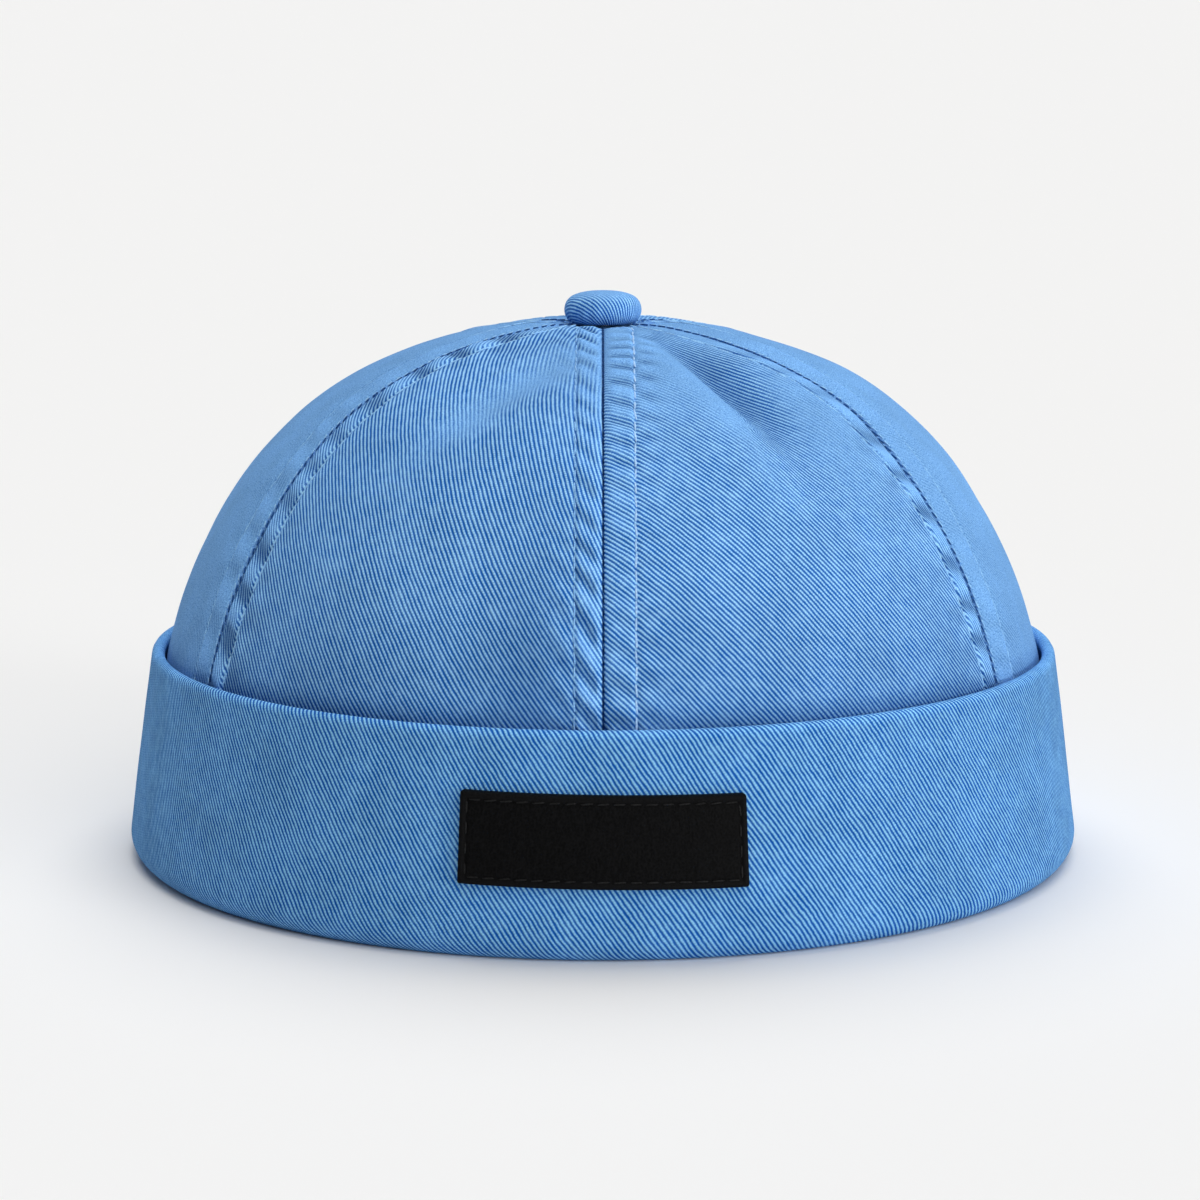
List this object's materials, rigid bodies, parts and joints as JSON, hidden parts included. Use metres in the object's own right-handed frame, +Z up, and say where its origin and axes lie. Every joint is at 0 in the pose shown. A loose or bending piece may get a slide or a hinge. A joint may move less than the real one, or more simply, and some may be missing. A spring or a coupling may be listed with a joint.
{
  "type": "docker cap",
  "caption": "Brimless docker cap with a domed panelled crown, rolled cuff, covered top button and plain front patch; open head hollow below.",
  "frame": {"origin": "centre of the footprint on the surface that the cap rests on", "axes": "+Z up through the button, -Y towards the front with the patch, +X to the right seen from the front"},
  "size_m": [0.2048, 0.2054, 0.1201],
  "materials": {
    "crown_cloth": "washed cotton twill, matt, with fine diagonal ribs",
    "cuff_cloth": "washed cotton twill, matt, with light wear on the rolled lip",
    "button_cloth": "cotton twill drawn tight over a button form",
    "tack_metal": "plain dull steel",
    "patch_leather": "black fine grained leather, low sheen"
  },
  "bodies": {
    "root": {"crown_panel_1": "crown_cloth", "crown_panel_2": "crown_cloth", "crown_panel_3": "crown_cloth", "crown_panel_4": "crown_cloth", "crown_panel_5": "crown_cloth", "crown_panel_6": "crown_cloth", "cuff": "cuff_cloth", "button": "button_cloth", "button_tack": "tack_metal", "patch": "patch_leather"}
  },
  "joints": []
}
